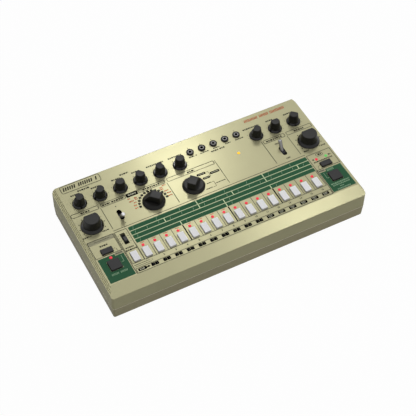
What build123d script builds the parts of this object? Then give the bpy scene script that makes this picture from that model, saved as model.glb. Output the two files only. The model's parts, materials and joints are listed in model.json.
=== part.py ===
from build123d import *
import math
import os

# Desktop drum machine. Millimetres, +Z up, +X to the right, +Y to the rear.
# The origin is on the surface it stands on, under the middle of the case.

# ---- Case ----
case_width = 305.0
case_depth = 157.0
case_height = 40.8          # lower shell's base to the panel
foot_drop = 2.0             # surface to the lower shell's base
split_height = 15.5         # lower shell's base to the joint between the shells
corner_radius = 3.0
ledge_run = 12.6            # sloping ledge in front of the panel
ledge_drop = 7.2
panel_edge_radius = 0.8
upper_wall = 2.2
step_count = 3              # fine steps down both sides of the panel
step_width = 1.3
step_drop = 1.45
lower_wall = 3.2
lower_floor = 2.4
lower_lean = 1.0            # how far the lower walls draw in at the base
base_edge_radius = 0.8
lip_height = 2.5
lip_gap = 0.15
joint_chamfer = 0.9

# ---- Fasteners and feet ----
board_screw_radius = 1.4
board_screw_length = 7.0
board_boss_radius = 3.0
case_screw_radius = 1.5
case_screw_length = 14.0
case_boss_radius = 3.6
case_boss_inset = 8.0       # boss centres in from the case's sides
case_boss_front_inset = 15.5
case_boss_rear_inset = 12.5
case_boss_middle = 3.0      # middle row behind the case's middle
post_radius = 4.2
post_height = 18.0          # lower shell's base to the top of its screw posts
screw_head_ratio = 1.9
screw_head_height = 1.8
screw_recess_width = 0.8
screw_seat_height = 9.0     # lower shell's base to the seat of a case screw's head
screw_hole_clearance = 0.05
head_hole_clearance = 0.3
foot_radius = 6.5
foot_recess = 1.0
foot_edge_radius = 0.6
foot_inset_x = 22.0
foot_inset_y = 18.0
foot_clearance = 0.1

# ---- Circuit board ----
board_gap = 10.3            # board to the panel's underside
board_thickness = 1.6
board_side_gap = 1.0
board_front_gap = 14.5      # board's front edge from the case's front
board_rear_gap = 1.2
board_screw_rear_inset = 6.4            # screws in from the board's rear edge
board_screw_front_inset = 5.5
board_screw_middle_inset = 46.0         # middle row in from the board's front edge
board_screw_rear_side = 8.9             # outer screws of the rear row in from the board's ends
board_screw_front_side = 19.4
board_screw_midi_gap = 5.0              # middle screw of the rear row from the round sockets
board_screw_spread = 62.0

# ---- Knobs: places in from the case's edges, turns clockwise from straight back ----
knob_side_inset = 19.95     # outer columns
knob_rear_inset = 31.7      # row of small knobs
level_knob_turns = {0: -80.0, 1: -45.0, 2: -3.0, 3: 48.0, 4: 78.0, 5: 10.0, 9: -45.0, 10: 2.0, 11: 42.0}
knob_columns = 12
dial_side_inset = 19.6
dial_rear_inset = 65.2      # row of the dials and selectors
selector_turns = {3: -45.0, 5: 45.0}

level_skirt_radius = 8.1
level_grip_radius = 6.2
level_top_radius = 4.9
level_height = 12.1
level_flat = 3.2            # shaft's axis to the flat on the grip
dial_skirt_radius = 12.6
dial_grip_radius = 9.9
dial_top_radius = 8.6
dial_height = 12.7
dial_flat = 5.4
selector_grip_width = 9.8
selector_tail = 8.6         # axis to the top of the bar's tail
selector_tail_foot = 9.4    # and to its foot
selector_flat = 3.0         # axis to where the nose starts to slope
selector_nose = 9.8
selector_corner = 0.9
selector_height = 12.6
skirt_height = 0.6          # upright edge of every skirt
skirt_slope = 52.0          # and the bevel above it
skirt_step = 0.5            # how far the bevel stands out from the grip
flat_share = 0.5            # share of the height that the flat runs down
knob_gap = 0.4              # skirt to the panel
knob_edge_radius = 0.6
knob_roof = 3.0             # knob's top to the end of its bore
knob_fit = 0.02

shaft_radius = 3.0
shaft_clearance = 0.06
bush_radius = 3.6
bush_drop = 0.4             # bush's top below the panel
bush_clearance = 0.2
pot_width = 10.0
pot_depth = 12.0
pot_height = 6.5
pot_floor = 1.0
rotary_radius = 11.0
rotary_height = 7.5

# ---- Keys and buttons, their rows in from the case's front ----
step_total = 16
step_left_inset = 42.81     # key beside the first step
step_right_inset = 43.15    # last step
key_front_inset = 34.4
white_width = 7.3
white_length = 12.8
square_side_inset = 19.5
square_side = 12.8
small_front_inset = 54.1
small_width = 13.0
small_length = 6.8
key_rise = 2.0              # top of a key above the panel
key_travel = 0.6
key_clearance = 0.3
key_corner = 0.5
key_edge_radius = 0.35
flange_width = 1.0
flange_height = 1.0
flange_gap = 0.2
stem_radius = 1.5
switch_side = 6.0
switch_height = 4.3
switch_well_radius = 1.85
switch_well_depth = 2.4
stem_entry = 1.2

# ---- Lamps ----
lamp_front_inset = 44.6
bank_lamp_front_inset = 63.8
bank_red_offset = -6.6      # from the middle of the button below
bank_green_offset = 5.6
power_lamp_x = 54.1
power_lamp_rear_inset = 45.7
lamp_radius = 1.5
lamp_rise = 0.3             # start of the dome above the panel
lamp_flange_radius = 1.9
lamp_flange_height = 1.0
lamp_leg_radius = 0.35
lamp_leg_spacing = 2.0
lamp_clearance = 0.1

# ---- Toggle switches ----
toggle_side_inset = 52.7
toggle_rear_inset = 65.1
toggle_slot_width = 5.4
toggle_slot_length = 13.8
toggle_tilt = 29.5          # lever from upright, either way
pivot_drop = 4.5            # pivot below the panel
lever_length = 16.6
lever_tip_radius = 2.05
lever_neck_radius = 0.95
lever_tail = 2.6
pivot_radius = 0.8
pivot_clearance = 0.05
pivot_bite = 1.5            # pin's length in each cheek
toggle_width = 9.0
toggle_length = 17.0
toggle_top_gap = 0.4
toggle_mouth_width = 4.8
toggle_mouth_length = 14.4
toggle_mouth_depth = 8.2

# ---- Slide switch ----
slide_side_inset = 43.0
slide_front_inset = 60.7
slide_slot_width = 4.7
slide_slot_length = 14.5
slide_cap_width = 3.9
slide_cap_length = 6.0
slide_rise = 2.4
slide_reach = 3.9           # cap's travel from the middle, either way
slide_rest = -1.8           # where the cap stands now
slide_body_width = 8.0
slide_body_length = 22.0
slide_top_gap = 0.4
slide_cap_gap = 0.3
slide_stem_width = 1.6
slide_stem_length = 2.6
slide_track_depth = 4.0
slide_track_clearance = 0.25

# ---- Mini jacks ----
jack_total = 5
jack_columns = (5, 9)       # knob columns that the row of jacks lies between
jack_first_gap = 18.25      # knob to the first jack
jack_last_gap = 19.95
jack_rear_inset = 20.5
jack_width = 9.0
jack_depth = 10.5
jack_top_gap = 0.3
jack_bush_radius = 2.95
jack_bush_rise = 1.5
jack_bore_radius = 1.8
jack_bore_floor = 1.5
jack_hole_clearance = 0.1
nut_radius = 4.3
nut_height = 1.7
nut_clearance = 0.05
nut_flute_count = 24
nut_flute_radius = 0.3

# ---- Rear plate and sockets ----
rear_opening_inset = 16.5   # opening's ends in from the case's sides
rear_opening_bottom = 5.5   # lower shell's base to the opening
rear_opening_drop = 9.3     # panel to the opening's top
rear_plate_thickness = 1.5
rear_plate_border = 2.0
rear_plate_gap = 0.2
nose_clearance = 0.25
inlet_inset = 14.0          # this and the next insets are in from the opening's end
inlet_width = 9.0
inlet_height = 11.0
inlet_depth = 14.0
inlet_bore_radius = 3.1
inlet_bore_depth = 9.5
inlet_pin_radius = 1.0
usb_inset = 64.0
usb_width = 12.0
usb_height = 10.8
usb_depth = 16.0
usb_shell = 0.6
usb_mouth_depth = 9.0
usb_tongue_width = 5.6
usb_tongue_height = 3.2
midi_insets = (98.0, 126.0)
midi_width = 20.0
midi_height = 19.2
midi_depth = 12.0
midi_nose_radius = 8.6
midi_ring_radius = 7.5
midi_ring_depth = 3.0
midi_pin_circle = 4.8
midi_pin_radius = 0.8
midi_pin_step = 45.0
output_insets = (52.0, 20.0)
output_width = 16.0
output_height = 13.0
output_depth = 26.0
output_nose_radius = 5.6
output_bore_radius = 3.25
output_bore_depth = 24.0
rocker_inset = 38.0
rocker_sill_gap = 1.7       # opening's bottom to the switch frame
rocker_board_gap = 1.5      # switch frame to the board above it
rocker_frame_width = 15.0
rocker_frame_wall = 1.2
rocker_bezel = 1.2
rocker_bezel_thickness = 1.4
rocker_body_depth = 13.0
rocker_clearance = 0.4
rocker_swing = 14.0
rocker_axis_depth = 4.6     # rocker's axis in front of the bezel's face
rocker_end = 4.6            # rocker's axis to its two ends
rocker_middle = 4.0         # and to the middle of the V
rocker_pin_radius = 1.0
rocker_pin_bite = 0.8

# ---- Levels and lines worked out from the sizes above ----
base_z = foot_drop
split_z = base_z + split_height
panel_z = base_z + case_height
ceiling_z = panel_z - upper_wall
board_top = ceiling_z - board_gap
board_bottom = board_top - board_thickness
floor_z = base_z + lower_floor
post_top = base_z + post_height
front_y = -case_depth / 2
rear_y = case_depth / 2
side_x = case_width / 2
case_boss_x = side_x - case_boss_inset
case_boss_rows = (front_y + case_boss_front_inset, case_boss_middle, rear_y - case_boss_rear_inset)
board_half = case_boss_x - case_boss_radius - board_side_gap
plate_rear = rear_y - upper_wall - rear_plate_gap
plate_front = plate_rear - rear_plate_thickness
board_front = front_y + board_front_gap
board_rear = plate_front - board_rear_gap
opening_half = side_x - rear_opening_inset
opening_bottom = base_z + rear_opening_bottom
opening_top = panel_z - rear_opening_drop
overcut = 1.0

upright = (Align.CENTER, Align.CENTER, Align.MIN)


# ---- Plain shapes ----
def block(width, depth, bottom, top, x=0.0, y=0.0):
    return Pos(x, y, bottom) * Box(width, depth, top - bottom, align=upright)


def disc(radius, bottom, top, x=0.0, y=0.0):
    return Pos(x, y, bottom) * Cylinder(radius, top - bottom, align=upright)


def rounded_block(width, depth, radius, bottom, top, x=0.0, y=0.0):
    return extrude(Pos(x, y, bottom) * RectangleRounded(width, depth, radius), top - bottom)


def stadium(width, length, bottom, top, x=0.0, y=0.0):
    outline = Pos(x, y, bottom) * Rot(0, 0, 90) * SlotOverall(length, width)
    return extrude(outline, top - bottom)


def rearward_disc(radius, front, rear, x, z):
    """A cylinder along Y between two depths."""
    return Pos(x, front, z) * Rot(-90, 0, 0) * Cylinder(radius, rear - front, align=upright)


def turned(outline, x=0.0, y=0.0, z=0.0):
    """Spins an outline of (radius, height) points about a vertical axis."""
    face = make_face(Polyline(*[(radius, 0.0, height) for radius, height in outline], close=True))
    return Pos(x, y, z) * revolve(face, Axis.Z, 360)


def column_x(column):
    pitch = (case_width - 2 * knob_side_inset) / (knob_columns - 1)
    return (column - (knob_columns - 1) / 2) * pitch


def step_x(number):
    pitch = (case_width - step_left_inset - step_right_inset) / step_total
    return step_left_inset - side_x + number * pitch


def group(solids):
    return Compound(children=list(solids))


# ---- Places that the panel, the board and the parts share ----
knob_row = rear_y - knob_rear_inset
dial_row = rear_y - dial_rear_inset
dial_x = side_x - dial_side_inset
toggle_x = side_x - toggle_side_inset
toggle_row = rear_y - toggle_rear_inset
slide_x = slide_side_inset - side_x
slide_row = front_y + slide_front_inset
key_row = front_y + key_front_inset
small_row = front_y + small_front_inset
square_x = side_x - square_side_inset
lamp_row = front_y + lamp_front_inset
bank_lamp_row = front_y + bank_lamp_front_inset
jack_row = rear_y - jack_rear_inset
jack_first = column_x(jack_columns[0]) + jack_first_gap
jack_last = column_x(jack_columns[1]) - jack_last_gap
jack_pitch = (jack_last - jack_first) / (jack_total - 1)
level_places = [(column_x(column), knob_row) for column in level_knob_turns]
dial_places = [(-dial_x, dial_row), (dial_x, dial_row)]
selector_places = [(column_x(column), dial_row) for column in selector_turns]
toggle_places = [(-toggle_x, toggle_row), (toggle_x, toggle_row)]
jack_places = [(jack_first + number * jack_pitch, jack_row) for number in range(jack_total)]
white_places = [(step_x(number), key_row) for number in range(step_total + 1)]
square_places = [(-square_x, key_row), (square_x, key_row)]
small_places = [(-square_x, small_row), (square_x, small_row)]
red_places = [(step_x(number), lamp_row) for number in range(1, step_total + 1)]
red_places += [(-square_x, lamp_row), (square_x + bank_red_offset, bank_lamp_row)]
green_places = [(square_x + bank_green_offset, bank_lamp_row)]
power_lamp = (power_lamp_x, rear_y - power_lamp_rear_inset)
case_screw_places = [(side * case_boss_x, row) for side in (-1, 1) for row in case_boss_rows]
foot_x = side_x - foot_inset_x
foot_y = rear_y - foot_inset_y
foot_places = [(side * foot_x, end * foot_y) for side in (-1, 1) for end in (-1, 1)]
inlet_x = opening_half - inlet_inset
rocker_x = opening_half - rocker_inset
usb_x = opening_half - usb_inset
midi_places = [opening_half - inset for inset in midi_insets]
output_places = [inset - opening_half for inset in output_insets]
screw_rear_x = board_half - board_screw_rear_side
screw_front_x = board_half - board_screw_front_side
screw_middle_x = min(midi_places) - midi_width / 2 - board_screw_midi_gap
board_screw_rows = [(board_rear - board_screw_rear_inset, (-screw_rear_x, screw_middle_x, screw_rear_x)),
                    (board_front + board_screw_middle_inset, (-board_screw_spread, 0.0, board_screw_spread)),
                    (board_front + board_screw_front_inset, (-screw_front_x, 0.0, screw_front_x))]
board_screw_spots = [(x, row) for row, columns in board_screw_rows for x in columns]
rocker_bottom = opening_bottom + rocker_sill_gap
rocker_frame_height = board_bottom - rocker_board_gap - rocker_bottom
rocker_middle_z = rocker_bottom + rocker_frame_height / 2


# ---- Upper shell ----
def case_profile(inset):
    """Side view of the case above the joint, moved in by the inset."""
    slope = math.atan2(ledge_drop, ledge_run)
    front = front_y + inset
    top = panel_z - inset
    ledge_front = panel_z - ledge_drop - inset / math.cos(slope) + inset * math.tan(slope)
    crease = front_y + ledge_run + inset * math.tan(slope / 2)
    rear = rear_y - inset
    return [(front, split_z), (front, ledge_front), (crease, top), (rear, top), (rear, split_z)]


def side_body(inset, half_width, edge_radius=0.0):
    outline = Polygon(*case_profile(inset), align=None)
    if edge_radius > 0:
        outline = fillet(outline.vertices().sort_by(Axis.Y)[2:], edge_radius)
    return extrude(Plane.YZ * outline, half_width, both=True)


def side_steps():
    cuts = []
    for number in range(step_count):
        width = (step_count - number) * step_width
        bottom = panel_z - (number + 1) * step_drop
        for side in (-1, 1):
            x = side * (side_x - width / 2)
            cuts.append(block(width, case_depth + overcut, bottom, panel_z + overcut, x))
    return cuts


def shell_hollow():
    low_ceiling = ceiling_z - step_count * step_drop
    wide = side_body(upper_wall, side_x - upper_wall) & block(case_width, case_depth, split_z, low_ceiling)
    narrow = side_body(upper_wall, side_x - upper_wall - step_count * step_width)
    below = block(case_width - 2 * upper_wall, case_depth - 2 * upper_wall, split_z - overcut, split_z)
    return wide + narrow + below


def panel_holes():
    bottom = ceiling_z - overcut
    top = panel_z + overcut
    holes = []
    for x, y in level_places + dial_places + selector_places:
        holes.append(disc(bush_radius + bush_clearance, bottom, top, x, y))
    for x, y in jack_places:
        holes.append(disc(jack_bush_radius + jack_hole_clearance, bottom, top, x, y))
    for x, y in red_places + green_places + [power_lamp]:
        holes.append(disc(lamp_radius + lamp_clearance, bottom, top, x, y))
    keys = [(white_places, white_width, white_length), (square_places, square_side, square_side),
            (small_places, small_width, small_length)]
    for places, width, length in keys:
        for x, y in places:
            opening = (width + 2 * key_clearance, length + 2 * key_clearance, key_corner + key_clearance)
            holes.append(rounded_block(*opening, bottom, top, x, y))
    for x, y in toggle_places:
        holes.append(stadium(toggle_slot_width, toggle_slot_length, bottom, top, x, y))
    holes.append(block(slide_slot_width, slide_slot_length, bottom, top, slide_x, slide_row))
    return holes


def rear_opening(bottom, top):
    depth = 4 * (lower_wall + rear_plate_gap)
    return block(2 * opening_half, depth, bottom, top, 0, rear_y)


def upper_shell():
    shell = side_body(0.0, side_x, panel_edge_radius)
    shell = shell & rounded_block(case_width, case_depth, corner_radius, split_z, panel_z)
    shell = shell - side_steps() - shell_hollow()
    bosses = [disc(board_boss_radius, board_top, ceiling_z, x, y) for x, y in board_screw_spots]
    bosses += [disc(case_boss_radius, post_top, ceiling_z, x, y) for x, y in case_screw_places]
    shell = shell + bosses
    pilots = []
    board_pilot_top = board_bottom + board_screw_length + overcut
    for x, y in board_screw_spots:
        radius = board_screw_radius + screw_hole_clearance
        pilots.append(disc(radius, board_top - overcut, board_pilot_top, x, y))
    seat = base_z + screw_seat_height
    for x, y in case_screw_places:
        radius = case_screw_radius + screw_hole_clearance
        pilots.append(disc(radius, seat, seat + case_screw_length + overcut, x, y))
    shell = shell - panel_holes() - pilots
    return shell - rear_opening(split_z - overcut, opening_top)


# ---- Lower shell ----
def lower_outside():
    lean = math.degrees(math.atan2(lower_lean, split_height))
    outline = Pos(0, 0, split_z) * RectangleRounded(case_width, case_depth, corner_radius)
    body = extrude(outline, -split_height, taper=lean)
    body = chamfer(body.faces().sort_by(Axis.Z)[-1].edges(), joint_chamfer)
    return fillet(body.faces().sort_by(Axis.Z)[0].edges(), base_edge_radius)


def joint_lip():
    outside = upper_wall + lip_gap
    outer = rounded_block(case_width - 2 * outside, case_depth - 2 * outside, corner_radius - upper_wall,
                          split_z - overcut, split_z + lip_height)
    inner = block(case_width - 2 * lower_wall, case_depth - 2 * lower_wall, split_z - 2 * overcut,
                  split_z + lip_height + overcut)
    return outer - inner


def lower_shell():
    hollow = block(case_width - 2 * lower_wall, case_depth - 2 * lower_wall, floor_z, split_z + overcut)
    shell = lower_outside() - hollow + joint_lip()
    post_foot = floor_z - lower_floor / 2
    shell = shell + [disc(post_radius, post_foot, post_top, x, y) for x, y in case_screw_places]
    cuts = []
    seat = base_z + screw_seat_height
    head_radius = case_screw_radius * screw_head_ratio
    for x, y in case_screw_places:
        cuts.append(disc(head_radius + head_hole_clearance, base_z - overcut, seat, x, y))
        cuts.append(disc(case_screw_radius + head_hole_clearance, base_z, post_top + overcut, x, y))
    for x, y in foot_places:
        cuts.append(disc(foot_radius + foot_clearance, base_z - overcut, base_z + foot_recess, x, y))
    cuts.append(rear_opening(opening_bottom, split_z + lip_height + overcut))
    pocket_width = 2 * (opening_half + rear_plate_border + rear_plate_gap)
    pocket_bottom = opening_bottom - rear_plate_border - rear_plate_gap
    pocket_depth = 2 * (lower_wall - upper_wall)
    pocket_y = rear_y - upper_wall - pocket_depth / 2
    cuts.append(block(pocket_width, pocket_depth, pocket_bottom, split_z + lip_height + overcut, 0, pocket_y))
    return shell - cuts


# ---- Fasteners and feet ----
def screw(radius, length, x, y, seat):
    """Pan head below its seat, shank upwards, cross recess in the head."""
    head_radius = radius * screw_head_ratio
    body = disc(radius, seat, seat + length, x, y) + disc(head_radius, seat - screw_head_height, seat, x, y)
    head_bottom = seat - screw_head_height
    for size in ((head_radius, screw_recess_width), (screw_recess_width, head_radius)):
        body = body - block(*size, head_bottom - overcut, head_bottom + screw_head_height / 2, x, y)
    return body


def foot(x, y):
    body = disc(foot_radius, 0.0, base_z + foot_recess, x, y)
    return fillet(body.edges().sort_by(Axis.Z)[0], foot_edge_radius)


# ---- Circuit board and what stands on it ----
def control_board():
    middle = (board_front + board_rear) / 2
    board = block(2 * board_half, board_rear - board_front, board_bottom, board_top, 0, middle)
    hole_radius = board_screw_radius + head_hole_clearance
    return board - [disc(hole_radius, board_bottom - overcut, board_top + overcut, x, y)
                    for x, y in board_screw_spots]


def bushed_body(body, height, x, y):
    """A switch or pot body with its bush up to the panel and a bore for the shaft."""
    bush = disc(bush_radius, board_top + height, panel_z - bush_drop, x, y)
    bore = disc(shaft_radius + shaft_clearance, board_top + pot_floor, panel_z, x, y)
    return body + bush - bore


def potentiometer(x, y):
    return bushed_body(block(pot_width, pot_depth, board_top, board_top + pot_height, x, y), pot_height, x, y)


def rotary_switch(x, y):
    return bushed_body(disc(rotary_radius, board_top, board_top + rotary_height, x, y), rotary_height, x, y)


def lamp(x, y):
    """A round lamp with a domed lens, its flange under the panel and two legs on the board."""
    dome_start = panel_z + lamp_rise
    flange_top = ceiling_z - lamp_clearance
    flange_bottom = flange_top - lamp_flange_height
    lens = disc(lamp_radius, flange_bottom, dome_start, x, y)
    dome = Pos(x, y, dome_start) * Sphere(lamp_radius)
    dome = dome & disc(lamp_radius, dome_start, dome_start + lamp_radius, x, y)
    flange = disc(lamp_flange_radius, flange_bottom, flange_top, x, y)
    leg_step = lamp_leg_spacing / 2
    legs = [disc(lamp_leg_radius, board_top, flange_bottom, x + side * leg_step, y) for side in (-1, 1)]
    return lens + dome + flange + legs


def tactile_switch(x, y):
    top = board_top + switch_height
    body = block(switch_side, switch_side, board_top, top, x, y)
    return body - disc(switch_well_radius, top - switch_well_depth, top + overcut, x, y)


def jack_socket(x, y):
    body = block(jack_width, jack_depth, board_top, ceiling_z - jack_top_gap, x, y)
    bush = disc(jack_bush_radius, ceiling_z - jack_top_gap, panel_z + jack_bush_rise, x, y)
    bore = disc(jack_bore_radius, board_top + jack_bore_floor, panel_z + jack_bush_rise + overcut, x, y)
    return body + bush - bore


def jack_nut(x, y):
    top = panel_z + nut_height
    body = disc(nut_radius, panel_z, top, x, y)
    body = chamfer(body.faces().sort_by(Axis.Z)[-1].edges(), nut_flute_radius)
    flutes = []
    for number in range(nut_flute_count):
        angle = 2 * math.pi * number / nut_flute_count
        place = (x + nut_radius * math.cos(angle), y + nut_radius * math.sin(angle))
        flutes.append(disc(nut_flute_radius, panel_z - overcut, top + overcut, *place))
    return body - flutes - disc(jack_bush_radius + nut_clearance, panel_z - overcut, top + overcut, x, y)


def toggle_body(x, y):
    top = ceiling_z - toggle_top_gap
    pivot_z = panel_z - pivot_drop
    body = block(toggle_width, toggle_length, board_top, top, x, y)
    mouth = block(toggle_mouth_width, toggle_mouth_length, top - toggle_mouth_depth, top + overcut, x, y)
    hole_length = toggle_mouth_width + 2 * (pivot_bite + pivot_clearance)
    pin_hole = Pos(x, y, pivot_z) * Rot(0, 90, 0) * Cylinder(pivot_radius + pivot_clearance, hole_length)
    return body - mouth - pin_hole


def slide_body():
    top = ceiling_z - slide_top_gap
    body = block(slide_body_width, slide_body_length, board_top, top, slide_x, slide_row)
    track_width = slide_stem_width + 2 * slide_track_clearance
    track_length = slide_stem_length + 2 * (slide_reach + slide_track_clearance)
    return body - block(track_width, track_length, top - slide_track_depth, top + overcut, slide_x, slide_row)


# ---- Knobs, each with its shaft ----
def skirt_outline(skirt_radius, grip_radius):
    """The skirt from the axis outwards: its underside, upright edge and bevel."""
    bevel_radius = grip_radius + skirt_step
    bevel_rise = (skirt_radius - bevel_radius) * math.tan(math.radians(skirt_slope))
    edge_top = (skirt_radius, skirt_height)
    return [(0.0, 0.0), (skirt_radius, 0.0), edge_top, (bevel_radius, skirt_height + bevel_rise)]


def flatted_grip(skirt_radius, grip_radius, top_radius, height, flat):
    """A round knob whose grip has a flat on the side that it points to."""
    outline = skirt_outline(skirt_radius, grip_radius)
    skirt_top = outline[-1][1]
    knob = turned(outline + [(grip_radius, skirt_top), (top_radius, height), (0.0, height)])
    knob = fillet(knob.faces().sort_by(Axis.Z)[-1].edges(), knob_edge_radius)
    cut = block(2 * skirt_radius, skirt_radius, height * (1 - flat_share), height + overcut)
    return knob - Pos(0, flat + skirt_radius / 2, 0) * cut


def bar_grip():
    """A skirt with a bar across it: a leaning tail, straight sides and a nose that slopes down."""
    outline = skirt_outline(dial_skirt_radius, dial_grip_radius)
    skirt_rim, skirt_top = outline[-1]
    skirt = turned(outline + [(0.0, skirt_top)])
    side = [(-selector_tail_foot, 0.0), (selector_nose, 0.0), (selector_nose, skirt_top + skirt_step),
            (selector_flat, selector_height), (-selector_tail, selector_height)]
    bar = extrude(Plane.YZ * Polygon(*side, align=None), selector_grip_width / 2, both=True)
    tail_edges = bar.faces().sort_by(Axis.Y)[0].edges().filter_by(Axis.X, reverse=True)
    bar = fillet(tail_edges, selector_corner) & disc(skirt_rim, 0.0, selector_height)
    bar = fillet(bar.faces().sort_by(Axis.Z)[-1].edges(), knob_edge_radius)
    return skirt + bar


def shaft(height):
    """The shaft, from its bearing in the body on the board to the end of the knob's bore."""
    bottom = board_top + pot_floor + shaft_clearance
    return disc(shaft_radius, bottom, panel_z + knob_gap + height - knob_roof - knob_fit)


def placed_knob(grip, height, x, y, turn):
    bore = disc(shaft_radius + knob_fit, -overcut, height - knob_roof)
    cap = Pos(0, 0, panel_z + knob_gap) * (grip - bore)
    return group([Pos(x, y, 0) * Rot(0, 0, -turn) * solid for solid in (cap, shaft(height))])


def level_knob(x, y, turn):
    grip = flatted_grip(level_skirt_radius, level_grip_radius, level_top_radius, level_height, level_flat)
    return placed_knob(grip, level_height, x, y, turn)


def dial(x, y, turn=0.0):
    grip = flatted_grip(dial_skirt_radius, dial_grip_radius, dial_top_radius, dial_height, dial_flat)
    return placed_knob(grip, dial_height, x, y, turn)


def selector(x, y, turn):
    return placed_knob(bar_grip(), selector_height, x, y, turn)


# ---- Keys and levers ----
def key(width, length, x, y):
    """A cap through the panel, a flange below it and a stem into its tactile switch."""
    flange_top = ceiling_z - flange_gap
    flange_bottom = flange_top - flange_height
    cap = rounded_block(width, length, key_corner, flange_bottom, panel_z + key_rise, x, y)
    cap = fillet(cap.faces().sort_by(Axis.Z)[-1].edges(), key_edge_radius)
    flange = block(width + 2 * flange_width, length + 2 * flange_width, flange_bottom, flange_top, x, y)
    stem = disc(stem_radius, board_top + switch_height - stem_entry, flange_bottom, x, y)
    return cap + flange + stem


def toggle_lever(x, y, lean):
    """A metal bat on a cross pin, leaning by its angle towards the rear."""
    neck = lever_length * 0.2
    shoulder = lever_length * 0.9
    outline = [(0.0, -lever_tail), (lever_neck_radius, -lever_tail), (lever_neck_radius, neck),
               (lever_tip_radius, shoulder), (lever_tip_radius, lever_length), (0.0, lever_length)]
    bat = turned(outline)
    bat = fillet(bat.faces().sort_by(Axis.Z)[-1].edges(), lever_tip_radius / 3)
    pin_length = toggle_mouth_width + 2 * pivot_bite
    pin = Rot(0, 90, 0) * Cylinder(pivot_radius, pin_length)
    return Pos(x, y, panel_z - pivot_drop) * Rot(-lean, 0, 0) * (bat + pin)


def slide_cap():
    body_top = ceiling_z - slide_top_gap
    cap_bottom = body_top + slide_cap_gap
    place = (slide_x, slide_row + slide_rest)
    cap = block(slide_cap_width, slide_cap_length, cap_bottom, panel_z + slide_rise, *place)
    cap = chamfer(cap.faces().sort_by(Axis.Z)[-1].edges(), key_edge_radius)
    stem_bottom = body_top - slide_track_depth + slide_cap_gap
    return cap + block(slide_stem_width, slide_stem_length, stem_bottom, cap_bottom, *place)


# ---- Rear plate and sockets ----
def rear_plate():
    width = 2 * (opening_half + rear_plate_border)
    bottom = opening_bottom - rear_plate_border
    top = opening_top + rear_plate_border
    plate_y = (plate_front + plate_rear) / 2
    plate = block(width, rear_plate_thickness, bottom, top, 0, plate_y)
    front = plate_front - overcut
    rear = plate_rear + overcut
    cuts = [socket_window(inlet_x, inlet_width, inlet_height), socket_window(usb_x, usb_width, usb_height)]
    for x in midi_places:
        cuts.append(rearward_disc(midi_nose_radius + nose_clearance, front, rear, x, socket_z(midi_height)))
    for x in output_places:
        radius = output_nose_radius + nose_clearance
        cuts.append(rearward_disc(radius, front, rear, x, socket_z(output_height)))
    window = (rocker_frame_width + 2 * nose_clearance, rocker_frame_height + 2 * nose_clearance)
    cuts.append(rocker_box(*window, front, rear))
    return plate - cuts


def socket_z(height):
    """Middle of a socket that hangs from the board."""
    return board_bottom - height / 2


def socket_window(x, width, height):
    middle = socket_z(height)
    half = height / 2 + nose_clearance
    return block(width + 2 * nose_clearance, 3 * rear_plate_thickness, middle - half, middle + half, x,
                 (plate_front + plate_rear) / 2)


def socket_body(x, width, height, depth, rear):
    return block(width, depth, board_bottom - height, board_bottom, x, rear - depth / 2)


def power_inlet():
    rear = plate_rear
    middle = socket_z(inlet_height)
    body = socket_body(inlet_x, inlet_width, inlet_height, inlet_depth, rear)
    bore = rearward_disc(inlet_bore_radius, rear - inlet_bore_depth, rear + overcut, inlet_x, middle)
    pin = rearward_disc(inlet_pin_radius, rear - inlet_bore_depth - overcut, rear - overcut, inlet_x, middle)
    return body - bore + pin


def usb_socket():
    rear = plate_rear
    middle = socket_z(usb_height)
    body = socket_body(usb_x, usb_width, usb_height, usb_depth, rear)
    mouth_width = usb_width - 2 * usb_shell
    mouth_half = usb_height / 2 - usb_shell
    mouth_depth = usb_mouth_depth + overcut
    mouth_y = rear + overcut - mouth_depth / 2
    mouth = block(mouth_width, mouth_depth, middle - mouth_half, middle + mouth_half, usb_x, mouth_y)
    tongue_half = usb_tongue_height / 2
    tongue_y = rear - overcut - usb_mouth_depth / 2
    tongue_span = (middle - tongue_half, middle + tongue_half)
    tongue = block(usb_tongue_width, usb_mouth_depth, *tongue_span, usb_x, tongue_y)
    return body - mouth + tongue


def midi_socket(x):
    """Block and round nose with the plug's groove and five pin holes."""
    middle = socket_z(midi_height)
    body = socket_body(x, midi_width, midi_height, midi_depth, plate_front - nose_clearance)
    nose = rearward_disc(midi_nose_radius, plate_front - midi_depth / 2, plate_rear, x, middle)
    recess = rearward_disc(midi_ring_radius, plate_rear - midi_ring_depth, plate_rear + overcut, x, middle)
    pins = []
    for number in range(-2, 3):
        angle = math.radians(90 + number * midi_pin_step)
        spot = (x + midi_pin_circle * math.cos(angle), middle + midi_pin_circle * math.sin(angle))
        pins.append(rearward_disc(midi_pin_radius, plate_rear - midi_depth, plate_rear, *spot))
    return body + nose - recess - pins


def output_jack(x):
    middle = socket_z(output_height)
    body = socket_body(x, output_width, output_height, output_depth, plate_front - nose_clearance)
    nose = rearward_disc(output_nose_radius, plate_front - overcut, rear_y, x, middle)
    bore = rearward_disc(output_bore_radius, rear_y - output_bore_depth, rear_y + overcut, x, middle)
    return body + nose - bore


def rocker_box(width, height, front, rear):
    bottom = rocker_middle_z - height / 2
    return block(width, rear - front, bottom, bottom + height, rocker_x, (front + rear) / 2)


def rocker_pin(radius, length):
    place = Pos(rocker_x, rocker_axis_y, rocker_middle_z)
    return place * Rot(0, 90, 0) * Cylinder(radius, length)


rocker_face_y = plate_rear + rocker_bezel_thickness
rocker_axis_y = rocker_face_y - rocker_axis_depth
rocker_mouth_width = rocker_frame_width - 2 * rocker_frame_wall
rocker_mouth_height = rocker_frame_height - 2 * rocker_frame_wall


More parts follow.
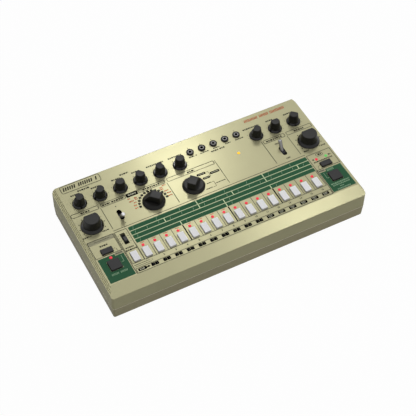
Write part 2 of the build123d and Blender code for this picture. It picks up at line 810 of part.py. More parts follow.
def power_switch_body():
    """Frame through the rear plate, its bezel on the plate's rear face."""
    front = plate_rear - rocker_body_depth
    body = rocker_box(rocker_frame_width, rocker_frame_height, front, plate_rear)
    bezel_size = (rocker_frame_width + 2 * rocker_bezel, rocker_frame_height + 2 * rocker_bezel)
    bezel = rocker_box(*bezel_size, plate_rear, rocker_face_y)
    mouth_size = (rocker_mouth_width, rocker_mouth_height)
    mouth = rocker_box(*mouth_size, front + rocker_frame_wall, rocker_face_y + overcut)
    bite = rocker_mouth_width + 2 * (rocker_pin_bite + pivot_clearance)
    return body + bezel - mouth - rocker_pin(rocker_pin_radius + pivot_clearance, bite)


def power_rocker():
    """A shallow V that tips about its pin, drawn with its lower half pressed in."""
    width = rocker_mouth_width - 2 * rocker_clearance
    half = rocker_mouth_height / 2 - rocker_clearance
    half = half * math.cos(math.radians(rocker_swing / 2))
    outline = [(-half, 0.0), (-half + rocker_clearance, rocker_end), (0.0, rocker_middle),
               (half - rocker_clearance, rocker_end), (half, 0.0), (0.0, -rocker_middle / 2)]
    face = make_face(Polyline(*[(0.0, depth, height) for height, depth in outline], close=True))
    body = extrude(face, width / 2, both=True)
    pin = Rot(0, 90, 0) * Cylinder(rocker_pin_radius, rocker_mouth_width + 2 * rocker_pin_bite)
    tipped = Rot(rocker_swing / 2, 0, 0) * (body + pin)
    return Pos(rocker_x, rocker_axis_y, rocker_middle_z) * tipped


# ---- Every node, then one file each ----
def all_nodes():
    switch_places = white_places + square_places + small_places
    nodes = {
        "upper_shell": upper_shell(),
        "lower_shell": lower_shell(),
        "rubber_feet": group(foot(x, y) for x, y in foot_places),
        "case_screws": group(screw(case_screw_radius, case_screw_length, x, y, base_z + screw_seat_height)
                             for x, y in case_screw_places),
        "control_board": control_board(),
        "board_screws": group(screw(board_screw_radius, board_screw_length, x, y, board_bottom)
                              for x, y in board_screw_spots),
        "potentiometers": group(potentiometer(x, y) for x, y in level_places + dial_places),
        "rotary_switches": group(rotary_switch(x, y) for x, y in selector_places),
        "toggle_bodies": group(toggle_body(x, y) for x, y in toggle_places),
        "slide_switch_body": slide_body(),
        "tactile_switches": group(tactile_switch(x, y) for x, y in switch_places),
        "red_leds": group(lamp(x, y) for x, y in red_places),
        "green_led": group(lamp(x, y) for x, y in green_places),
        "yellow_led": lamp(*power_lamp),
        "jack_sockets": group(jack_socket(x, y) for x, y in jack_places),
        "jack_nuts": group(jack_nut(x, y) for x, y in jack_places),
        "rear_panel": rear_plate(),
        "power_inlet": power_inlet(),
        "usb_socket": usb_socket(),
        "midi_sockets": group(midi_socket(x) for x in midi_places),
        "output_jacks": group(output_jack(x) for x in output_places),
        "power_switch_body": power_switch_body(),
        "power_rocker": power_rocker(),
        "tempo_knob": dial(*dial_places[0]),
        "volume_knob": dial(*dial_places[1]),
        "slide_switch_knob": slide_cap(),
        "left_toggle_lever": toggle_lever(*toggle_places[0], -toggle_tilt),
        "right_toggle_lever": toggle_lever(*toggle_places[1], toggle_tilt),
        "function_button": key(white_width, white_length, *white_places[0]),
        "start_button": key(square_side, square_side, *square_places[0]),
        "tap_button": key(square_side, square_side, *square_places[1]),
        "clear_button": key(small_width, small_length, *small_places[0]),
        "select_button": key(small_width, small_length, *small_places[1]),
    }
    for number, (place, turn) in enumerate(zip(level_places, level_knob_turns.values()), start=1):
        nodes[f"level_knob_{number}"] = level_knob(*place, turn)
    selector_names = ("pattern_selector", "mode_selector")
    for name, place, turn in zip(selector_names, selector_places, selector_turns.values()):
        nodes[name] = selector(*place, turn)
    for number in range(1, step_total + 1):
        nodes[f"step_button_{number:02d}"] = key(white_width, white_length, *white_places[number])
    return nodes


os.makedirs("parts", exist_ok=True)
for node, shape in all_nodes().items():
    export_step(shape, f"parts/{node}.step")
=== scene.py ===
import json
import math
import bpy
import bmesh
from mathutils import Matrix, Vector
from mathutils.bvhtree import BVHTree


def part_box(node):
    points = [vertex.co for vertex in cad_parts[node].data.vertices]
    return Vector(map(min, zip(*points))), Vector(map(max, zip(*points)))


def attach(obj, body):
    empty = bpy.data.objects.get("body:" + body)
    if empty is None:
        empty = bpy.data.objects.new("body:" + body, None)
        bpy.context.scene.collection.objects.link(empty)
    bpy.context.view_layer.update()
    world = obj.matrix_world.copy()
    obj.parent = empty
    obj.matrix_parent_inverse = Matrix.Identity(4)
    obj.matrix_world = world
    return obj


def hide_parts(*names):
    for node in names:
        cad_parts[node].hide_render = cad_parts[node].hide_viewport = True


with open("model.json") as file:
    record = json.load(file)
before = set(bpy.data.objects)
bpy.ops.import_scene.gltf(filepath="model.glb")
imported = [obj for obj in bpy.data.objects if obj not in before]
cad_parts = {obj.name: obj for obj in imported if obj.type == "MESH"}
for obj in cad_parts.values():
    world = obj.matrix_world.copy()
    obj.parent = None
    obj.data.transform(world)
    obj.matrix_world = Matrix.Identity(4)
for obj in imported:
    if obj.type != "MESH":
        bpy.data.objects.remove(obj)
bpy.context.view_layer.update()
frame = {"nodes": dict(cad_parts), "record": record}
mm = 0.001
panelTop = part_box("upper_shell")[1].z / mm
print("frame loaded:", len(frame["nodes"]), "nodes, panel at", round(panelTop, 2), "mm")


# finishes: each has colour, roughness and bump worked out by noise in the object's own space
def newFinish(name):
    finish = bpy.data.materials.new(name)
    finish.use_nodes = True
    tree = finish.node_tree
    return finish, tree, tree.nodes["Principled BSDF"]


def link(tree, source, target):
    tree.links.new(source, target)


def addNoise(tree, scale, detail=2.0, stretch=None):
    place = tree.nodes.new("ShaderNodeTexCoord")
    noise = tree.nodes.new("ShaderNodeTexNoise")
    noise.inputs["Scale"].default_value = scale
    noise.inputs["Detail"].default_value = detail
    if stretch:
        mapping = tree.nodes.new("ShaderNodeMapping")
        mapping.inputs["Scale"].default_value = stretch
        link(tree, place.outputs["Object"], mapping.inputs["Vector"])
        link(tree, mapping.outputs["Vector"], noise.inputs["Vector"])
    else:
        link(tree, place.outputs["Object"], noise.inputs["Vector"])
    return noise.outputs["Fac"]


noiseSpan = (0.3, 0.7)    # noise rarely leaves this span


def spanValue(tree, fac, low, high):
    span = tree.nodes.new("ShaderNodeMapRange")
    span.inputs["From Min"].default_value, span.inputs["From Max"].default_value = noiseSpan
    span.inputs["To Min"].default_value = low
    span.inputs["To Max"].default_value = high
    link(tree, fac, span.inputs["Value"])
    return span.outputs["Result"]


def mixColours(tree, fac, first, second):
    mix = tree.nodes.new("ShaderNodeMix")
    mix.data_type = "RGBA"
    link(tree, fac, mix.inputs["Factor"])
    for socket, colour in ((6, first), (7, second)):
        if isinstance(colour, bpy.types.NodeSocket):
            link(tree, colour, mix.inputs[socket])
        else:
            mix.inputs[socket].default_value = (*colour, 1.0)
    return mix.outputs[2]


def compute(tree, operation, first, second=0.0):
    # first and second are sockets or numbers
    node = tree.nodes.new("ShaderNodeMath")
    node.operation = operation
    for socket, value in enumerate((first, second)):
        if isinstance(value, bpy.types.NodeSocket):
            link(tree, value, node.inputs[socket])
        else:
            node.inputs[socket].default_value = value
    return node.outputs["Value"]


def axisParts(tree, output):
    place = tree.nodes.new("ShaderNodeTexCoord")
    parts = tree.nodes.new("ShaderNodeSeparateXYZ")
    link(tree, place.outputs[output], parts.inputs["Vector"])
    return parts.outputs


def onSteps(tree, foot, side, tilt=0.5):
    # 1 on the upright faces of the fine steps down both sides of the panel, 0 elsewhere; these faces take a
    # painted highlight
    place = axisParts(tree, "Object")
    high = compute(tree, "GREATER_THAN", place["Z"], foot * mm)
    wide = compute(tree, "GREATER_THAN", compute(tree, "ABSOLUTE", place["X"]), side * mm)
    upright = compute(tree, "LESS_THAN", axisParts(tree, "Normal")["Z"], tilt)
    return compute(tree, "MULTIPLY", compute(tree, "MULTIPLY", high, wide), upright)


def shade(colour, amount):
    return tuple(min(1.0, c * amount) for c in colour)


def addBump(tree, shader, fac, depth, strength=1.0):
    bump = tree.nodes.new("ShaderNodeBump")
    bump.inputs["Strength"].default_value = strength
    bump.inputs["Distance"].default_value = depth * mm
    link(tree, fac, bump.inputs["Height"])
    link(tree, bump.outputs["Normal"], shader.inputs["Normal"])


# what a moulded finish has unless it says otherwise
mouldedLook = {"broadScale": 45.0, "fineScale": 1400.0, "fineDetail": 3.0, "stretch": None, "spread": 0.08,
               "fleck": 0.0, "paintedLightSteps": None, "roughWander": 0.05, "grain": 0.01, "grainStrength": 0.6,
               "metal": 0.0, "specular": 0.5}


def moulded(name, own):
    look = {**mouldedLook, **own}
    finish, tree, shader = newFinish(name)
    broad = addNoise(tree, look["broadScale"])
    fine = addNoise(tree, look["fineScale"], look["fineDetail"], look["stretch"])
    cloudy = spanValue(tree, broad, 0, 1)
    cloudy = mixColours(tree, cloudy, shade(look["colour"], 1 - look["spread"]),
                        shade(look["colour"], 1 + look["spread"]))
    if look["fleck"]:
        speck = spanValue(tree, fine, 0, look["fleck"])
        cloudy = mixColours(tree, speck, cloudy, look["fleckColour"])
    # painted highlight: a lighter colour on the upright faces of the side steps stands in for light falling
    # on them
    if look["paintedLightSteps"]:
        cloudy = mixColours(tree, onSteps(tree, *look["paintedLightSteps"]), cloudy, look["paintedLightStepColour"])
    link(tree, cloudy, shader.inputs["Base Color"])
    rough, wander = look["roughness"], look["roughWander"]
    link(tree, spanValue(tree, broad, rough - wander, rough + wander), shader.inputs["Roughness"])
    addBump(tree, shader, fine, look["grain"], look["grainStrength"])
    shader.inputs["Metallic"].default_value = look["metal"]
    shader.inputs["Specular IOR Level"].default_value = look["specular"]
    return finish


lensLook = {"scale": 900.0, "tint": (0.9, 1.1), "dim": 0.92, "roughness": (0.2, 0.34), "specular": 0.25}


def lensFinish(name, look):
    finish, tree, shader = newFinish(name)
    cloud = addNoise(tree, lensLook["scale"])
    low, high = lensLook["tint"]
    tint = mixColours(tree, cloud, shade(look["colour"], low), shade(look["colour"], high))
    link(tree, tint, shader.inputs["Base Color"])
    glow = mixColours(tree, cloud, shade(look["glow"], lensLook["dim"]), look["glow"])
    link(tree, glow, shader.inputs["Emission Color"])
    shader.inputs["Emission Strength"].default_value = look["strength"]
    link(tree, spanValue(tree, cloud, *lensLook["roughness"]), shader.inputs["Roughness"])
    shader.inputs["Specular IOR Level"].default_value = lensLook["specular"]
    return finish


shellLook = {"spread": 0.015, "fleck": 0.12, "roughness": 0.24, "roughWander": 0.015, "metal": 0.2,
             "specular": 0.0, "fineScale": 2600.0, "grain": 0.006, "grainStrength": 0.3}
mouldedFinishes = {
    # the lighter colour on the upright faces of the side steps is a painted highlight
    "caseGold": {**shellLook, "colour": (0.385, 0.368, 0.222), "fleckColour": (0.55, 0.53, 0.36),
                 "paintedLightSteps": (panelTop - 4.6, 148.0), "paintedLightStepColour": (1.0, 0.98, 0.72)},
    "caseLower": {**shellLook, "colour": (0.335, 0.31, 0.193), "fleckColour": (0.49, 0.45, 0.31)},
    # pale colour of the seam bead: a painted highlight
    "seamGoldPaintedHighlight": {"colour": (0.7, 0.64, 0.47), "spread": 0.03, "roughness": 0.4, "metal": 0.1, "specular": 0.1,
                 "grain": 0.004},
    "knobBlack": {"colour": (0.014, 0.0137, 0.0122), "roughness": 0.4, "specular": 0.17, "spread": 0.12,
                  "grain": 0.006, "grainStrength": 0.3},
    "skirtBlack": {"colour": (0.0105, 0.0102, 0.0092), "roughness": 0.15, "specular": 0.3, "spread": 0.12,
                   "grain": 0.003},
    "plainBlack": {"colour": (0.012, 0.012, 0.013), "roughness": 0.6, "specular": 0.3, "spread": 0.2,
                   "grain": 0.02},
    "keyWhite": {"colour": (0.89, 0.885, 0.895), "roughness": 0.5, "specular": 0.3, "spread": 0.01,
                 "grain": 0.006},
    "keyBlack": {"colour": (0.027, 0.0265, 0.027), "roughness": 0.55, "specular": 0.2, "spread": 0.1,
                 "grain": 0.012},
    "nutBlack": {"colour": (0.02, 0.02, 0.02), "roughness": 0.45, "specular": 0.1, "spread": 0.1,
                 "grain": 0.004},
    "capBlack": {"colour": (0.03, 0.03, 0.03), "roughness": 0.5, "specular": 0.3, "spread": 0.1,
                 "grain": 0.01},
    "zincSteel": {"colour": (0.46, 0.46, 0.45), "roughness": 0.34, "metal": 1.0, "spread": 0.1,
                  "grain": 0.006, "stretch": (1.0, 1.0, 0.08)},
    "satinSteel": {"colour": (0.34, 0.34, 0.35), "roughness": 0.3, "metal": 1.0, "spread": 0.06,
                   "grain": 0.003},
    "ringSilver": {"colour": (0.25, 0.245, 0.235), "roughness": 0.5, "metal": 0.4, "specular": 0.2,
                   "spread": 0.08, "grain": 0.003},
    "holeBlack": {"colour": (0.003, 0.003, 0.003), "roughness": 0.8, "specular": 0.0, "spread": 0.2,
                  "grain": 0.004},
    # lighter steel for the left toggle's tip only: a painted highlight
    "tipSteelPaintedHighlight": {"colour": (0.46, 0.455, 0.46), "roughness": 0.34, "metal": 0.9, "spread": 0.03,
                 "grain": 0.002},
    "batSteel": {"colour": (0.3, 0.295, 0.3), "roughness": 0.32, "metal": 0.8, "spread": 0.05,
                 "grain": 0.003},
    "boardGreen": {"colour": (0.02, 0.14, 0.06), "roughness": 0.35, "spread": 0.15, "grain": 0.01},
    "footRubber": {"colour": (0.02, 0.02, 0.02), "roughness": 0.75, "spread": 0.25, "grain": 0.05},
}
# printing inks: colour, roughness, specular, spread
inkFinishes = {
    "inkDark": ((0.02, 0.019, 0.012), 0.6, 0.1, 0.15),
    "inkBlack": ((0.002, 0.002, 0.002), 0.7, 0.02, 0.2),
    "inkPale": ((0.62, 0.8, 0.48), 0.6, 0.1, 0.04),
    "inkSilver": ((0.13, 0.13, 0.11), 0.6, 0.1, 0.05),
    "inkLine": ((0.09, 0.086, 0.055), 0.6, 0.1, 0.1),
    "inkTaupe": ((0.35, 0.335, 0.22), 0.6, 0.15, 0.06),
    "inkGreen": ((0.0235, 0.098, 0.045), 0.6, 0.12, 0.04),
    "inkCream": ((0.5, 0.5, 0.36), 0.6, 0.15, 0.05),
    "inkMint": ((0.22, 0.36, 0.22), 0.6, 0.12, 0.05),
    "inkOrange": ((0.45, 0.075, 0.022), 0.6, 0.1, 0.05),
}
lensFinishes = {
    "redLens": {"colour": (0.45, 0.008, 0.02), "glow": (1.0, 0.028, 0.075), "strength": 0.5},
    "greenLens": {"colour": (0.05, 0.4, 0.07), "glow": (0.2, 0.8, 0.17), "strength": 0.36},
    "yellowLens": {"colour": (0.7, 0.35, 0.02), "glow": (1.0, 0.6, 0.02), "strength": 0.76},
}
finishes = {name: moulded(name, own) for name, own in mouldedFinishes.items()}
for name, (colour, roughness, specular, spread) in inkFinishes.items():
    finishes[name] = moulded(name, {"colour": colour, "roughness": roughness, "specular": specular,
                                    "spread": spread, "grain": 0.004})
finishes.update({name: lensFinish(name, look) for name, look in lensFinishes.items()})
print("finishes mixed:", len(finishes))

# which finish each record slot takes on the solids of the frame
slotFinish = {
    "gold_shell": "caseGold", "knob_black": "knobBlack", "black_plastic": "plainBlack",
    "black_gloss": "nutBlack", "key_white": "keyWhite", "key_black": "keyBlack", "steel": "zincSteel",
    "silver_metal": "satinSteel", "board_green": "boardGreen", "rubber": "footRubber",
    "red_lens": "redLens", "green_lens": "greenLens", "yellow_lens": "yellowLens",
}


def dressNode(node, finish):
    solid = frame["nodes"][node]
    if not solid.material_slots:
        solid.data.materials.append(None)
    for slot in solid.material_slots:
        slot.link = "OBJECT"
        slot.material = finishes[finish]


for subpart in frame["record"]["subparts"]:
    dressNode(subpart["node"], slotFinish[subpart["material_slot"]])
dressNode("slide_switch_knob", "capBlack")
dressNode("jack_sockets", "ringSilver")
dressNode("lower_shell", "caseLower")


levelKnobs = [f"level_knob_{n}" for n in range(1, 10)]
dials = ["tempo_knob", "volume_knob"]
skirtHeight = 4.3    # above the panel


def polishSkirt(node):
    # the skirt's faces take a glossier finish than the grip
    shape = frame["nodes"][node].data
    shape.materials.append(finishes["skirtBlack"])
    for face in shape.polygons:
        if face.center.z < (panelTop + skirtHeight) * mm:
            face.material_index = 1


for node in levelKnobs + dials:
    polishSkirt(node)
print("solids dressed")


# flat printing: thin plates of ink that lie on the panel
ink = {name: [] for name in inkFinishes}
inkLook = {"thickness": 0.05, "tightest": 0.05, "dashGap": 0.32, "dashes": (1.1, 0.7, 1.3, 0.8, 0.6),
           "shortest": 0.2, "bold": 0.07, "textScale": 1.4, "textSteps": 3}


def roundedLoop(x0, y0, x1, y1, radius=0.0, steps=4):
    if radius <= 0:
        return [(x0, y0), (x1, y0), (x1, y1), (x0, y1)]
    loop = []
    corners = ((x1 - radius, y0 + radius, -90), (x1 - radius, y1 - radius, 0),
               (x0 + radius, y1 - radius, 90), (x0 + radius, y0 + radius, 180))
    for cx, cy, start in corners:
        for step in range(steps + 1):
            angle = math.radians(start + 90 * step / steps)
            loop.append((cx + radius * math.cos(angle), cy + radius * math.sin(angle)))
    return loop


def roundLoop(x, y, radius, count=20):
    return [(x + radius * math.cos(2 * math.pi * n / count), y + radius * math.sin(2 * math.pi * n / count))
            for n in range(count)]


def printPlate(layer, loop, *holes):
    ink[layer].append((loop, holes))


def printBar(layer, x0, y0, x1, y1, radius=0.0):
    printPlate(layer, roundedLoop(x0, y0, x1, y1, radius))


def printFrame(layer, x0, y0, x1, y1, radius, line):
    innerRadius = max(inkLook["tightest"], radius - line)
    inner = roundedLoop(x0 + line, y0 + line, x1 - line, y1 - line, innerRadius)
    printPlate(layer, roundedLoop(x0, y0, x1, y1, max(radius, line)), inner)


def printLine(layer, start, end, line):
    along = Vector(end) - Vector(start)
    across = Vector((-along.y, along.x)).normalized() * line / 2
    ends = (Vector(start) - across, Vector(end) - across, Vector(end) + across, Vector(start) + across)
    printPlate(layer, [tuple(point) for point in ends])


def printDot(layer, x, y, radius):
    printPlate(layer, roundLoop(x, y, radius))


def printDashes(layer, x, y, length, height):
    # a plain row of dashes stands where a caption would be
    start = -length / 2
    number = 0
    while start < length / 2 - inkLook["shortest"]:
        width = min(inkLook["dashes"][number % len(inkLook["dashes"])] * height, length / 2 - start)
        printLine(layer, (x + start, y), (x + start + width, y), height)
        start += width + inkLook["dashGap"] * height
        number += 1


textPieces = []


def printText(layer, words, x, y, size):
    textPieces.append((layer, words, x, y, size))


def addRing(mesh, loop, height):
    return [mesh.verts.new((x * mm, y * mm, height * mm)) for x, y in loop]


def joinRings(mesh, rings, isOpen=None):
    # walls between rings of the same count, apart from where they are open
    for low, high in zip(rings, rings[1:]):
        for n in range(len(low)):
            after = (n + 1) % len(low)
            if not (isOpen and isOpen(low[n].co, low[after].co)):
                mesh.faces.new((low[n], low[after], high[after], high[n]))


def addLoopEdges(mesh, loop, height):
    corners = addRing(mesh, loop, height)
    edges = [mesh.edges.new((corners[n], corners[(n + 1) % len(corners)])) for n in range(len(corners))]
    return corners, edges


def fillPlate(mesh, loop, holes, height):
    corners, edges = addLoopEdges(mesh, loop, height)
    if not holes:
        mesh.faces.new(corners)
        return
    inner = [addLoopEdges(mesh, hole, height) for hole in holes]
    if len(holes) == 1 and len(inner[0][0]) == len(corners):
        other = inner[0][0]
        for n in range(len(corners)):
            after = (n + 1) % len(corners)
            mesh.faces.new((corners[n], corners[after], other[after], other[n]))
        return
    for ring in inner:
        edges += ring[1]
    bmesh.ops.triangle_fill(mesh, use_beauty=True, edges=edges)


def addObject(name, data):
    thing = bpy.data.objects.new(name, data)
    bpy.context.scene.collection.objects.link(thing)
    return thing


def textMesh(words, size):
    curve = bpy.data.curves.new("digits", "FONT")
    curve.body = words
    curve.size = size * mm * inkLook["textScale"]
    curve.offset = inkLook["bold"] * mm
    curve.align_x = "CENTER"
    curve.align_y = "CENTER"
    curve.resolution_u = inkLook["textSteps"]
    holder = addObject("digits", curve)
    bpy.context.view_layer.update()
    mesh = bpy.data.meshes.new_from_object(holder.evaluated_get(bpy.context.evaluated_depsgraph_get()))
    bpy.data.objects.remove(holder)
    bpy.data.curves.remove(curve)
    return mesh


def joinMesh(name, mesh, finish, body, smooth=False):
    data = bpy.data.meshes.new(name)
    mesh.to_mesh(data)
    mesh.free()
    piece = addObject(name, data)
    data.materials.append(finishes[finish])
    if smooth:
        data.polygons.foreach_set("use_smooth", [True] * len(data.polygons))
    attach(piece, body)
    return piece


def joinInk(name, mesh, layer, body, axis):
    # every plate faces along the axis and gets its thickness behind that face
    bmesh.ops.recalc_face_normals(mesh, faces=mesh.faces)
    for face in mesh.faces:
        if face.normal[axis] < 0:
            face.normal_flip()
    thick = joinMesh(name, mesh, layer, body).modifiers.new("inkThickness", "SOLIDIFY")
    thick.thickness = inkLook["thickness"] * mm
    thick.offset = -1.0


def pressInk(name, layer, height):
    mesh = bmesh.new()
    top = height + inkLook["thickness"]
    for loop, holes in ink[layer]:
        fillPlate(mesh, loop, holes, top)
    for textLayer, words, x, y, size in textPieces:
        if textLayer == layer:
            letters = textMesh(words, size)
            letters.transform(Matrix.Translation((x * mm, y * mm, top * mm)))
            mesh.from_mesh(letters)
            bpy.data.meshes.remove(letters)
    joinInk(name, mesh, layer, "case", 2)


# where the controls stand on the panel, read back from the frame
def middle(node):
    low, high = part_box(node)
    return (low.x + high.x) / 2 / mm, (low.y + high.y) / 2 / mm


jackRow = {"first": 6.2, "pitch": 14.55, "count": 5, "y": 58.0}
levelSpots = [middle(node) for node in levelKnobs]
jackSpots = [(jackRow["first"] + jackRow["pitch"] * n, jackRow["y"]) for n in range(jackRow["count"])]


def printHatch(layer, x0, x1, low, high, count, line, lean):
    # slanting strokes stand where a large word would be
    for n in range(count):
        x = x0 + (x1 - x0) * (n + 0.5) / count
        printLine(layer, (x - lean / 2, low), (x + lean / 2, high), line)


def printRows(layer, rows):
    # each row: left end, right end, height on the panel, letter height
    for x0, x1, y, height in rows:
        printDashes(layer, (x0 + x1) / 2, y, x1 - x0, height)


def printPath(layer, points, line):
    for start, end in zip(points, points[1:]):
        printLine(layer, start, end, line)


def printKnobScales():
    look = {"turns": range(-150, 151, 30), "inner": 9.2, "outer": 10.2, "line": 0.35, "dialRadius": 14.0,
            "dialDot": 0.68}
    angles = [math.radians(90 - turn) for turn in look["turns"]]
    aims = [Vector((math.cos(angle), math.sin(angle))) for angle in angles]
    for spot in levelSpots:
        for aim in aims:
            here = Vector(spot)
            printLine("inkDark", here + aim * look["inner"], here + aim * look["outer"], look["line"])
    for node in dials:
        for aim in aims:
            printDot("inkDark", *(Vector(middle(node)) + aim * look["dialRadius"]), look["dialDot"])


def printCaptions():
    # dashes stand for the words over the knobs, under the dials and round the jacks
    look = {"knobRow": 60.4, "knobLetter": 1.75, "upperRow": 63.6, "upperLetter": 1.9, "jackRow": 51.6,
            "jackLetter": 1.4, "groupRow": 48.3, "groupLetter": 1.8, "tick": (63.9, 65.5), "tickLine": 0.45,
            "tickShift": 0.5,
            "knobs": [(-137.5, -127.0), (-113.5, -104.0), (-89.0, -79.0), (-65.0, -55.5), (-47.0, -26.0),
                      (-20.3, -4.0), (74.2, 94.5), (103.8, 112.5), (127.0, 138.5)],
            "upper": [(-128.0, -114.2), (-77.8, -67.4)],
            "jacks": [(1.8, 8.0), (9.8, 11.8), (15.9, 26.7), (31.8, 39.7), (47.4, 54.0), (60.0, 70.0)],
            "group": [(27.7, 36.8), (38.2, 44.4)],
            "dials": [(-149.0, -141.5, 1.2, 1.6), (-125.0, -118.5, 1.2, 1.6), (119.8, 125.0, 1.0, 1.8),
                      (141.5, 147.0, 1.0, 1.6)]}
    for key, row, letter in (("knobs", "knobRow", "knobLetter"), ("upper", "upperRow", "upperLetter"),
                             ("jacks", "jackRow", "jackLetter"), ("group", "groupRow", "groupLetter")):
        printRows("inkDark", [(x0, x1, look[row], look[letter]) for x0, x1 in look[key]])
    printRows("inkDark", look["dials"])
    low, high = look["tick"]
    for x, y in jackSpots:
        x += look["tickShift"]
        printLine("inkDark", (x, low), (x, high), look["tickLine"])


def printTitles():
    # each large word: left end, right end, strokes
    look = {"plate": (-144.2, 66.5, -97.2, 77.4), "plateRadius": 2.4, "plateLine": 0.8,
            "words": [(-141.6, -126.4, 6), (-123.6, -106.4, 7), (-103.6, -100.8, 1)],
            "wordSpan": (69.8, 74.6), "stroke": 1.5, "lean": 1.3,
            "orange": [(81.8, 99.2, 11), (101.2, 113.2, 8), (115.2, 134.2, 12)], "orangeSpan": (69.4, 73.4),
            "orangeStroke": 0.85, "orangeLean": 0.9}
    printFrame("inkLine", *look["plate"], look["plateRadius"], look["plateLine"])
    for x0, x1, count in look["words"]:
        printHatch("inkDark", x0, x1, *look["wordSpan"], count, look["stroke"], look["lean"])
    for x0, x1, count in look["orange"]:
        printHatch("inkOrange", x0, x1, *look["orangeSpan"], count, look["orangeStroke"], look["orangeLean"])


def printSections():
    look = {"low": 30.8, "high": 36.4, "radius": 1.6, "line": 0.75,
            "fields": [(-148.7, -116.4), (-114.0, -84.6), (-69.6, -37.4), (-34.8, 23.4), (86.2, 113.6),
                       (115.6, 148.3)],
            "wordRow": 33.4, "wordLetter": 2.1,
            "words": [(-137.4, -126.8), (-112.2, -103.0), (-101.4, -87.6), (-64.2, -44.0), (-10.2, -1.4),
                      (89.6, 109.4), (125.6, 138.2)],
            "badge": (-84.0, 30.8, -70.2, 36.2, 1.0), "badgeWord": (-81.6, -72.0, 33.6, 1.9),
            "uprightFoot": -0.4,
            "uprights": [(-115.2, 30.8), (-36.2, 30.8), (24.9, 35.6), (84.6, 35.6), (115.0, 30.8)],
            "rule": ((-116.0, -3.5), (118.2, -3.5))}
    for x0, x1 in look["fields"]:
        printFrame("inkLine", x0, look["low"], x1, look["high"], look["radius"], look["line"])
    printRows("inkDark", [(x0, x1, look["wordRow"], look["wordLetter"]) for x0, x1 in look["words"]])
    printBar("inkBlack", *look["badge"])
    printRows("inkCream", [look["badgeWord"]])
    for x, top in look["uprights"]:
        printLine("inkLine", (x, look["uprightFoot"]), (x, top), look["line"])
    printLine("inkLine", *look["rule"], look["line"])


def printPatternSelector():
    look = {"radius": 15.8, "side": 2.85, "corner": 0.3, "count": 13, "digit": 1.3,
            "words": [(-82.3, -78.4, 13.4, 1.6), (-82.0, -78.2, 17.4, 1.6), (-80.4, -76.8, 21.2, 1.4),
                      (-84.2, -79.2, 24.4, 1.7), (-77.3, -74.2, 27.2, 1.7), (-77.1, -74.2, 24.8, 1.4),
                      (-84.4, -81.4, 28.7, 1.4), (-42.7, -38.0, 13.5, 1.5), (-42.5, -37.8, 17.5, 1.5),
                      (-44.1, -39.3, 21.1, 1.5), (-46.9, -43.5, 24.7, 1.6), (-46.8, -43.6, 27.2, 1.6),
                      (-43.1, -38.7, 29.2, 1.5)]}
    cx, cy = middle("pattern_selector")
    half = look["side"] / 2
    for n in range(look["count"]):
        angle = math.radians(180 - 180 * n / (look["count"] - 1))
        x = cx + look["radius"] * math.cos(angle)
        y = cy + look["radius"] * math.sin(angle)
        printBar("inkBlack", x - half, y - half, x + half, y + half, look["corner"])
        printText("inkSilver", str(n + 1), x, y, look["digit"])
    printRows("inkOrange", look["words"])


def printModeSelector():
    look = {"badges": [(-2.5, 23.0, 7.8, 26.0), (1.5, 15.9, 9.9, 18.8), (12.1, 19.4, 23.2, 22.6)],
            "corner": 0.8, "left": 1.6, "right": 1.2, "letter": 1.0,
            "words": [(2.0, 7.4, 9.4, 1.1), (-2.1, 5.5, 2.4, 1.1), (12.2, 23.3, 6.0, 1.1)],
            "paths": [[(8.2, 24.7), (10.9, 24.7), (10.9, 17.4), (10.1, 17.4)], [(10.9, 21.0), (12.1, 21.0)],
                      [(8.4, 9.4), (10.3, 9.4), (10.3, 2.3), (6.6, 2.3)], [(10.3, 6.0), (11.8, 6.0)]],
            "pathLine": 0.5}
    for x0, y0, x1, y1 in look["badges"]:
        printBar("inkBlack", x0, y0, x1, y1, look["corner"])
        printRows("inkCream", [(x0 + look["left"], x1 - look["right"], (y0 + y1) / 2, look["letter"])])
    printRows("inkDark", look["words"])
    for path in look["paths"]:
        printPath("inkLine", path, look["pathLine"])


def printSwitchMarks():
    look = {"dots": [(-99.9, 25.7, 0.65), (-99.6, 1.3, 0.6)],
            "texts": [("ON", 98.8, 25.4), ("OFF", 100.0, 1.2)], "letter": 2.2,
            "slideFrame": (-112.25, -25.35, -106.85, -10.15, 0.3, 0.45)}
    for dot in look["dots"]:
        printDot("inkDark", *dot)
    for words, x, y in look["texts"]:
        printText("inkDark", words, x, y, look["letter"])
    printFrame("inkBlack", *look["slideFrame"])


def printScaleBox():
    # the narrow box round the slide switch, with its four ticks on both sides
    look = {"box": (-116.6, -51.8, -102.2, -5.8, 0.8, 0.75), "ticks": (-11.6, -15.2, -18.8, -22.4),
            "drop": 1.0, "left": (-115.2, -113.6), "right": (-105.4, -103.9), "line": 0.4,
            "edges": [((-117.3, -5.8), (-117.3, -65.0)), ((118.4, -29.8), (118.4, -65.0))], "edgeLine": 0.6,
            "words": [(-114.4, -105.2, -30.4, 1.6), (-115.6, -103.2, -33.7, 1.8)]}
    printFrame("inkLine", *look["box"])
    for edge in look["edges"]:
        printLine("inkDark", *edge, look["edgeLine"])
    for y in look["ticks"]:
        printLine("inkDark", (look["left"][0], y - look["drop"]), (look["left"][1], y), look["line"])
        printLine("inkDark", (look["right"][0], y), (look["right"][1], y - look["drop"]), look["line"])
    printRows("inkDark", look["words"])


